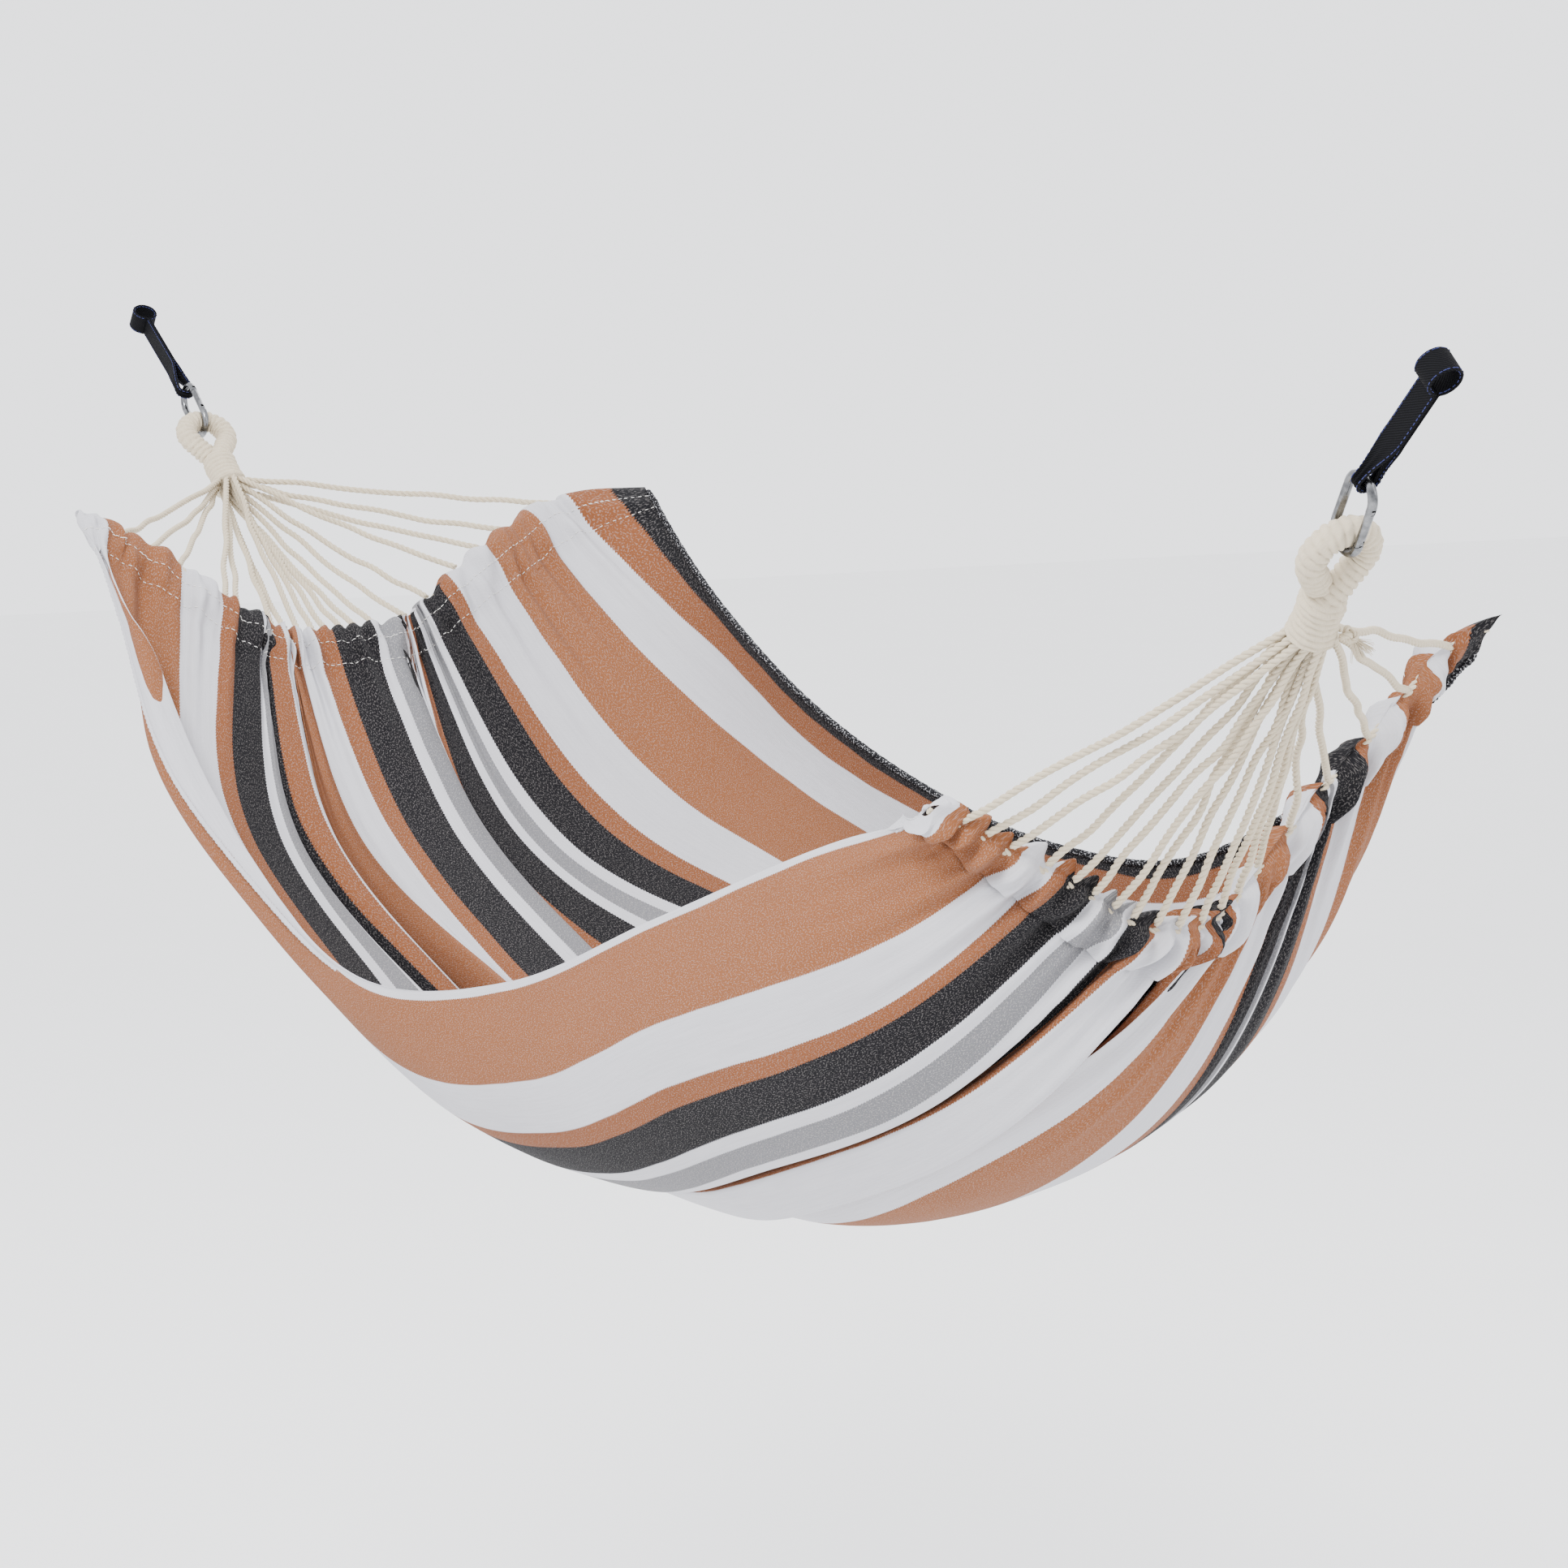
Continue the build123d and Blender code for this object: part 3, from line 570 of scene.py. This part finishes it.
# --- camera --------------------------------------------------------------
EYE_POINT = (4.765, -2.034, 0.096)
LOOK = (-0.848, 0.529)
PITCH = math.radians(7.55)
camera_data = bpy.data.cameras.new("camera")
camera_data.lens = 94.0
camera_data.sensor_width = 36.0
camera_data.clip_end = 100.0
camera = bpy.data.objects.new("camera", camera_data)
bpy.context.scene.collection.objects.link(camera)
camera.location = EYE_POINT
look = Vector((*unit(LOOK) * math.cos(PITCH), -math.sin(PITCH)))
camera.rotation_mode = "QUATERNION"
camera.rotation_quaternion = look.to_track_quat("-Z", "Y")
bpy.context.scene.camera = camera

# --- places of the hooks, eyes and whippings, as in the CAD model ---------
EYE_RISE = 0.084
LEFT_EYE = np.zeros(3)
LEFT_HOOK = np.array([0.124535, 0, -EYE_RISE])
RIGHT_HOOK = np.array([2.344535, 0, -EYE_RISE])
RIGHT_EYE = np.array([2.425654, 0, 0])
LEFT_PLANE = plane_at(LEFT_HOOK, (-0.755, 0.0, 0.656))
RIGHT_PLANE = plane_at(RIGHT_HOOK, (0.613, -0.193, 0.765))
EYE_TUBE = 0.025
EYE_BEND = 0.025
EYE_APEX = 0.052
EYE_CENTRE = 0.0802
WHIP_END = 0.165
WHIP_RADIUS = 0.0205

# --- cords ---------------------------------------------------------------
CORD = 0.0072
CORD_PITCH = 0.0079
CORD_COLUMNS = (3, 4, 5, 4, 3)
CORD_TWIST = 0.024
CORD_HEM_GAP = 0.009
CORD_SAG = 0.005
CORD_WAVE = 0.0019
WAVE_SHARES = (0, 0.08, 0.18, 0.29, 0.4, 0.51, 0.62, 0.73, 0.84, 0.93, 1)
LEFT_CORD_Y = [-257, -224, -192, -141, -127, -84, -68, -52, -35, -18, 0, 18, 44, 85, 114, 155, 195, 240,
               325]
RIGHT_CORD_Y = [-104, -84, -64, -34, -12, 4, 20, 36, 56, 76, 98, 118, 140, 166, 206, 250, 288, 318, 346]
HEM_CORD = 0.0076


def bundle_places(open_side):
    """Places of a fan's cords in its whipping: columns of touching cords, near column first."""
    middle = len(CORD_COLUMNS) // 2
    places = []
    for column, size in enumerate(CORD_COLUMNS):
        y = (column - middle) * CORD_PITCH * math.sin(math.radians(60))
        flip = open_side if column <= middle else -open_side
        for row in range(size):
            places.append((((size - 1) / 2 - row) * CORD_PITCH * flip, y))
    return places


def cord_route(plane, place, hem, y):
    """Control points of a hanging cord: nearly straight, with a slight sag and waves."""
    goal = read_line(y * MM, hem[:, 1], hem)
    start = to_world(plane, (*place, -WHIP_END))
    run = unit(start - goal)
    end = goal + run * CORD_HEM_GAP
    waves = rng.normal(0, CORD_WAVE, (len(WAVE_SHARES), 3))
    route = []
    for share, wave in zip(WAVE_SHARES, waves):
        free = math.sin(math.pi * share)
        sag = CORD_SAG * abs(run[0]) * free
        route.append(start + (end - start) * share + wave * min(1, 3 * free) - np.array([0, 0, sag]))
    return route


CORD_SHARE = {}
for side, plane, cord_y, open_side in (
        ("left", LEFT_PLANE, LEFT_CORD_Y, 1), ("right", RIGHT_PLANE, RIGHT_CORD_Y, -1)):
    hem = HEM_LINES[side]
    marks = distances(hem)
    CORD_SHARE[side] = np.interp(np.array(cord_y) * MM, hem[:, 1], marks / marks[-1])
    for number, (spot, y) in enumerate(zip(bundle_places(open_side), cord_y), 1):
        route = cord_route(plane, spot, hem, y)
        line = curve_points(route)
        name = f"{side}_cord_{number:02d}"
        cord = make_object(f"{name}_rope", *strands(line, CORD, CORD_TWIST, 0.0022,
                                                    phase=rng.uniform(0, 6)))
        place_piece(cord, "bed", ROPE, "cotton_rope", name)

for side, line in HEM_LINES.items():
    cord = make_object(f"{side}_hem_rope", *strands(line, HEM_CORD, CORD_TWIST, 0.003))
    place_piece(cord, "bed", ROPE, "cotton_rope", f"{side}_hem_cord")

# --- cloth mesh ----------------------------------------------------------
ROW_GAP = 190.0
BED_LENGTH = LAST_ROW * ROW_GAP
COLUMNS = 540
COLUMN_GAP = 2.786
CHANNEL = 38
GATHER_END = 150
OPEN_START = 156
LEFT_RUFFLE = 0.0045
RIGHT_RUFFLE = 0.0075
RUFFLE_REACH = 70
CRUMPLE_REACH = 60
EDGE_BAND = 30
HEM_OUTLINE = [  # distance in from the hem's cord and height above the cloth (mm), from back to front
    (34, -2.5), (28, -5), (20, -8.5), (12, -10), (4, -10), (-3, -8.5), (-7.5, -5), (-9, 0), (-7.5, 5),
    (-3, 8.5), (4, 9.5), (12, 8.8), (19, 7), (25, 4.6), (30, 2.2), (35, 0.8),
]
outline_in, outline_up = np.array(HEM_OUTLINE, float).T
gathered = np.linspace(CHANNEL, GATHER_END, 24)
open_rows = np.linspace(OPEN_START, BED_LENGTH - OPEN_START, 170)
inner = np.concatenate([gathered, open_rows, BED_LENGTH - gathered[::-1]])
distance = np.concatenate([outline_in, inner, BED_LENGTH - outline_in[::-1]])
height = np.concatenate([outline_up, np.zeros(len(inner)), outline_up[::-1]])
row_at = distance / ROW_GAP
near_hem = np.minimum(distance, BED_LENGTH - distance)
is_left = (distance < BED_LENGTH - distance)[:, None]
u_values = np.linspace(0, FLAT_WIDTH, COLUMNS)


def cloth_at(rows):
    return cloth_points(u_values, np.clip(rows, 0, LAST_ROW))


def pinch(plan, cords):
    """0 at each cord, 1 half way between two cords, for each column of a hem."""
    marks, share, _ = np.array(plan, float).T
    gap = np.interp(np.interp(u_values, marks, share), cords, np.arange(len(cords)),
                    left=-0.5, right=len(cords) - 0.5)
    return np.sin(math.pi * gap) ** 2


def ripple(travel, long_wave, short_wave, long_shift=0, short_shift=0):
    """Two waves across the cloth, of those lengths in millimetres. travel counts columns, unevenly."""
    turns = travel * 2 * math.pi * COLUMN_GAP
    return np.sin(turns / long_wave + long_shift) + 0.6 * np.sin(turns / short_wave + short_shift)


def cloth_noise(cells_along, cells_across):
    """Smooth noise over the mesh, from a random lattice of that many cells."""
    rows = np.linspace(0, cells_along, len(row_at))
    cols = np.linspace(0, cells_across, COLUMNS)
    lattice = rng.uniform(-1, 1, (cells_along + 2, cells_across + 2))
    return smooth_rows(smooth_rows(lattice, rows).T, cols).T


# The hems' channels puff out between the cords and are drawn in at each cord.
flat_bed = cloth_at(row_at)
points = flat_bed * MM
left_pinch = pinch(FOLDS[0], CORD_SHARE["left"])
right_pinch = pinch(FOLDS[-1], CORD_SHARE["right"])
hem_step = 0.06
hem_runs = cloth_at(np.array([0, hem_step, LAST_ROW - hem_step, LAST_ROW])) * MM
for out, beyond, swell in (
        (unit(hem_runs[0] - hem_runs[1]), -distance, 0.45 + left_pinch),
        (unit(hem_runs[3] - hem_runs[2]), distance - BED_LENGTH, 0.4 + 1.6 * right_pinch)):
    points += out * (np.maximum(beyond, 0)[:, None] * MM * swell)[..., None]

# Ruffles run in from the hems and fade out along the bed; finer creases lie over them.
normal_step = 0.03
normals = normals_from(cloth_at(row_at + normal_step) - cloth_at(row_at - normal_step),
                       np.gradient(flat_bed, axis=1))
travel = np.cumsum(rng.uniform(0.75, 1.3, COLUMNS))
small = cloth_noise(60, 48)
medium = cloth_noise(9, 30)
large = cloth_noise(7, 12)
fine = cloth_noise(150, 150)
off_rope = np.clip((np.abs(near_hem) - 5) / 20, 0, 1)
fade = np.exp(-np.clip(near_hem - 20, 0, None) / RUFFLE_REACH) * off_rope ** 2 * (3 - 2 * off_rope)
fade = fade[:, None]
ruffle = np.where(is_left, ripple(travel, 46, 27, short_shift=1) * LEFT_RUFFLE,
                  ripple(travel, 58, 31, long_shift=2) * RIGHT_RUFFLE) * fade
puff = np.where(is_left, 0.6 + 0.7 * left_pinch, 0.62 + 1.5 * right_pinch) * (1 + 0.35 * fine)
from_edge = np.clip(np.minimum(u_values, FLAT_WIDTH - u_values) / EDGE_BAND, 0, 1)
puff = 0.5 + (puff - 0.5) * from_edge
crumple = (0.0018 * small + 0.0019 * fine) * np.exp(-np.clip(near_hem, 0, None) / CRUMPLE_REACH)[:, None]
lift = height[:, None] * MM * puff + ruffle + crumple + 0.0022 * medium * (0.35 + fade) + 0.003 * large
points += normals * lift[..., None]

flat = flat_grid(u_values[None] * MM, distance[:, None] / BED_LENGTH * FLAT_LENGTH * MM)
cloth = make_object("cloth", points.reshape(-1, 3), grid_faces(*points.shape[:2]), flat)
place_piece(cloth, "bed", CLOTH, "striped_cotton", "fabric_bed", "left_hem", "right_hem")
smooth = cloth.modifiers.new("smooth", "SUBSURF")
smooth.levels = 1
smooth.render_levels = 1


# --- stitching and rolled edges ------------------------------------------
STITCH_ROWS = (11, 14)
EDGE_ROWS = slice(10, len(row_at) - 10)


def capsule(a, b, radius, sides=5):
    """Stitch from a to b, rounded towards both ends."""
    line = np.array([a, a + (b - a) * 0.12, (a + b) / 2, b - (b - a) * 0.12, b])
    _, na, nb = frames(line, (0.3, 0.2, 1))
    size = np.array([0.45, 1, 1.1, 1, 0.45])[:, None, None] * radius
    vertices, faces = tube(rings(line, size, na, nb, full_turn(sides)))
    return vertices, faces, [(0, 0)] * len(vertices)


def stitch_rows(rows, proud, stitch=0.0042, gap=0.0036):
    """Slightly uneven stitches along lines, proud of the surface along its normals."""
    parts = []
    for line, normal in rows:
        marks = distances(line)
        raised = line + normal * proud
        at = 0.004
        while at + stitch < marks[-1]:
            a, b = (read_line(x, marks, raised) for x in (at, at + stitch))
            parts.append(capsule(a, b, 0.0004))
            at += stitch + gap + rng.uniform(-0.0012, 0.0012)
    return join(parts)


def rolled_edge(line, radius, bead, sides=12):
    """Rolled hem with a bead at each stitch."""
    centres, at = resample(line, 0.0015)
    _, a, b = frames(centres, (0, 0.3, 1))
    turn = full_turn(sides)
    slow_wave = 0.021
    r = radius * (1 + 0.16 * np.sin(2 * math.pi * at[:, None] / bead + turn[None])
                  + 0.06 * np.sin(2 * math.pi * at[:, None] / slow_wave))
    return (*tube(rings(centres, r[..., None], a, b, turn)), flat_grid(turn[None] * radius, at[:, None]))


surface = normals_from(np.gradient(points, axis=0), np.gradient(points, axis=1))
for side, indices in (("left", STITCH_ROWS), ("right", [len(row_at) - 1 - i for i in STITCH_ROWS])):
    rows = [(points[i], surface[i] * sign) for i in indices for sign in (1, -1)]
    stitches = make_object(f"{side}_hem_stitches", *stitch_rows(rows, 0.0006))
    place_piece(stitches, "bed", WHITE_THREAD, "striped_cotton")

near_roll = make_object("near_rolled_edge", *rolled_edge(points[EDGE_ROWS, 0], 0.0026, 0.006))
place_piece(near_roll, "bed", CLOTH, "striped_cotton", "near_edge_hem")
far_roll = make_object("far_rolled_edge", *rolled_edge(points[EDGE_ROWS, -1], 0.0034, 0.0055))
place_piece(far_roll, "bed", SELVEDGE, "dark_selvedge", "far_edge_hem")

# --- rope eyes and whippings ---------------------------------------------
EYE_WRAP = 0.0066
WHIP_WRAP = 0.0062
WHIP_FROM = -0.122
WHIP_TO = -0.1675


def eye_line():
    """Teardrop whose two legs cross above the whipping."""
    half = math.asin(EYE_BEND / EYE_APEX)
    sweep = np.linspace(-half, math.pi + half, 60)
    arc = [(0, EYE_BEND * math.cos(a), -EYE_CENTRE + EYE_BEND * math.sin(a)) for a in sweep]
    cross = -EYE_CENTRE - EYE_APEX + 0.008
    start = [(0.006, -0.007, cross - 0.012), (0.005, 0, cross)]
    end = [(-0.005, 0, cross), (-0.006, 0.007, cross - 0.012)]
    return np.array(start + arc + end)


def eye_radius(share):
    return EYE_TUBE / 2


def whipping_radius(share):
    """Waisted, and narrower where it starts below the eye."""
    return 0.0215 - 0.0022 * math.sin(math.pi * share) - 0.004 * max(0, 0.2 - share) / 0.2


for side, plane in (("left", LEFT_PLANE), ("right", RIGHT_PLANE)):
    across = plane[1][0]
    eye = make_object(f"{side}_eye_rope", *wound_tube(to_world(plane, eye_line()), eye_radius,
                                                      EYE_WRAP, across))
    place_piece(eye, "bed", ROPE, "cotton_rope", f"{side}_rope_eye")
    core = to_world(plane, [(0, 0, z) for z in (WHIP_FROM, (WHIP_FROM + WHIP_TO) / 2, WHIP_TO)])
    whip = make_object(f"{side}_whipping_rope", *wound_tube(core, whipping_radius, WHIP_WRAP, across,
                                                            sides=96))
    place_piece(whip, "bed", ROPE, "cotton_rope", f"{side}_whipping")

# --- knots in the whippings' tails ---------------------------------------
KNOT_RADIUS = 0.008
KNOT_OUT = WHIP_RADIUS + KNOT_RADIUS + 0.0003
TAIL_CORD = 0.0052
TAIL_TWIST = 0.016
FRAY_LENGTH = 0.020


def knot_line(centre, axes, size):
    """Trefoil knot."""
    turn = full_turn(90)
    local = np.stack([np.sin(turn) + 2 * np.sin(2 * turn), np.cos(turn) - 2 * np.cos(2 * turn),
                      -1.2 * np.sin(3 * turn)], axis=-1) * size / 3
    return centre + local @ axes


def tassel(centre, direction, length, count):
    """Loose fibres that droop as they leave the knot."""
    parts = []
    for _ in range(count):
        aim = unit(direction + rng.normal(0, 0.33, 3))
        bend = rng.normal(0, 0.25, 3) - np.array([0, 0, 0.4])
        middle = centre + aim * length * 0.5
        tip = middle + unit(aim + bend * 0.5) * length * 0.5 * rng.uniform(0.7, 1.1)
        line, _ = resample([centre, middle, tip], length / 6)
        _, a, b = frames(line, (0.2, 1, 0.4))
        size = np.linspace(0.0005, 0.0002, len(line))[:, None, None]
        vertices, faces = tube(rings(line, size, a, b, full_turn(4)), caps=False)
        parts.append((vertices, faces, [(0, 0)] * len(vertices)))
    return parts


knots = []
for plane, side, fray in ((LEFT_PLANE, -1, 14), (RIGHT_PLANE, 1, 46)):
    level = -WHIP_END + KNOT_RADIUS
    centre = to_world(plane, (side * KNOT_OUT * 0.64, KNOT_OUT * 0.77, level))
    knots.append(strands(knot_line(centre, plane[1], KNOT_RADIUS * 0.78), TAIL_CORD, TAIL_TWIST, 0.0011,
                         loop=True))
    away = unit(centre - to_world(plane, (0, 0, level)))
    down = unit(away * 0.8 + np.array([0, 0, -0.6]))
    knots += tassel(centre + down * 0.004, down, FRAY_LENGTH, fray)
knot = make_object("tail_knot_ropes", *join(knots))
place_piece(knot, "bed", ROPE, "cotton_rope", "tail_knots")

# --- slings --------------------------------------------------------------
STRAP_WIDTH = 0.025
STRAP_THICK = 0.0024
STRAP_GAP = 0.0001
BUNCHED = 0.011
BUNCH_END = 0.004
SLING_EYE = 0.0125
SLING_LOOP = 0.0072
LEG_JOIN = 0.048
STRAP_COLUMNS = 25
SEAM_COLUMNS = (2, STRAP_COLUMNS - 3)


def sling_outline(length):
    """Closed centreline in the sling's YZ plane, from the top of its eye and back."""
    half = STRAP_THICK / 2
    eye_r = SLING_EYE + half
    gap = math.asin((half + STRAP_GAP) / eye_r)
    sweep = np.linspace(-math.pi + gap, math.pi - gap, 56)
    eye = [(math.sin(a) * eye_r, length + math.cos(a) * eye_r) for a in sweep]
    loop_r = SLING_LOOP + half
    low = [(loop_r * math.cos(a), loop_r * math.sin(a)) for a in np.linspace(0, -math.pi, 24)]
    down = [(half + STRAP_GAP, z) for z in np.linspace(length - eye_r, LEG_JOIN, 16)]
    in_leg = [(half + (loop_r - half) * s, LEG_JOIN * (1 - s)) for s in np.linspace(0.08, 0.95, 12)]
    return np.array(eye + down + in_leg + low + [(-y, z) for y, z in in_leg[::-1] + down[::-1]])


def strap_width(z):
    """Width at a height above the loop, and how far the webbing is bunched there."""
    share = min(1, max(0, (z - BUNCH_END) / (LEG_JOIN - BUNCH_END)))
    share = share * share * (3 - 2 * share)
    return BUNCHED + (STRAP_WIDTH - BUNCHED) * share, 1 - share


def sling_mesh(plane, length):
    """Mesh of a sling, and its four seam lines with their normals."""
    outline = sling_outline(length)
    local, at = resample(np.concatenate([np.zeros((len(outline), 1)), outline], axis=1), 0.0015, True)
    tangent = unit(np.roll(local, -1, axis=0) - np.roll(local, 1, axis=0))
    normal = np.cross([1.0, 0, 0], tangent)
    across = np.linspace(-1, 1, STRAP_COLUMNS)
    edge = np.sqrt(np.clip(1 - across ** 8, 0, 1))
    rows = []
    for p, n in zip(local, normal):
        width, bunch = strap_width(p[2])
        x = p + np.outer(across * width / 2, [1, 0, 0])
        wave = bunch * 0.0012 * np.cos(across * math.pi * 2.5)
        upper = x + np.outer(wave + STRAP_THICK / 2 * edge, n)
        lower = x + np.outer(wave - STRAP_THICK / 2 * edge, n)
        rows.append(np.concatenate([upper, lower[-2:0:-1]]))
    rows = np.array(rows)
    both_sides = np.concatenate([across, across[-2:0:-1]]) * STRAP_WIDTH / 2
    seams = []
    for column in SEAM_COLUMNS:
        for index, sign in ((column, 1), (2 * (STRAP_COLUMNS - 1) - column, -1)):
            seams.append((to_world(plane, rows[:, index]), (normal * sign) @ plane[1]))
    return (*tube(to_world(plane, rows), loop=True), flat_grid(both_sides[None], at[:, None])), seams


for side, hook, eye in (("left", LEFT_HOOK, LEFT_EYE), ("right", RIGHT_HOOK, RIGHT_EYE)):
    mesh, lines = sling_mesh(plane_at(hook, eye - hook), float(np.linalg.norm(eye - hook)))
    sling = make_object(f"{side}_strap", *mesh)
    place_piece(sling, "slings", WEBBING, "webbing", f"{side}_sling")
    seams = make_object(f"{side}_strap_stitches", *stitch_rows(lines, 0.0002, 0.003, 0.0012))
    place_piece(seams, "slings", BLUE_THREAD, "webbing")

# --- metal parts ---------------------------------------------------------
for side in ("left", "right"):
    for part in ("hook", "gate", "gate_pin", "gate_spring"):
        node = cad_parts[f"{side}_{part}"]
        node.data.materials.clear()
        node.data.materials.append(ZINC)

# --- floor and light -----------------------------------------------------
FLOOR_Z = -1.7
MIDDLE = (1.25, 0.1, -0.5)
corners = [(-14, -14, FLOOR_Z), (16, -14, FLOOR_Z), (16, 16, FLOOR_Z), (-14, 16, FLOOR_Z)]
floor = make_object("floor", corners, [[0, 1, 2, 3]])
pale = Nodes("pale_floor", Roughness=0.9)
tone = pale.ramp(pale.noise(pale.place(), 3.0, 2.0), [(0.0, grey(0.92)), (1.0, grey(0.94))])
floor.data.materials.append(pale.finish(tone))

world = bpy.data.worlds.new("studio")
bpy.context.scene.world = world
world.use_nodes = True
world.node_tree.nodes["Background"].inputs[0].default_value = (0.96, 0.97, 1.0, 1)
world.node_tree.nodes["Background"].inputs[1].default_value = 2.4


def area_light(name, place, size, power):
    """Round soft light, aimed at the middle of the hammock."""
    data = bpy.data.lights.new(name, "AREA")
    data.shape = "DISK"
    data.size = size
    data.energy = power
    obj = bpy.data.objects.new(name, data)
    bpy.context.scene.collection.objects.link(obj)
    obj.location = place
    obj.rotation_mode = "QUATERNION"
    obj.rotation_quaternion = (Vector(MIDDLE) - Vector(place)).to_track_quat("-Z", "Y")


area_light("key", (2.6, -2.6, 2.6), 1.8, 220)
area_light("fill", (4.6, 1.5, 1.2), 2.5, 35)
area_light("back", (-1.5, 2.0, 2.2), 2.0, 55)
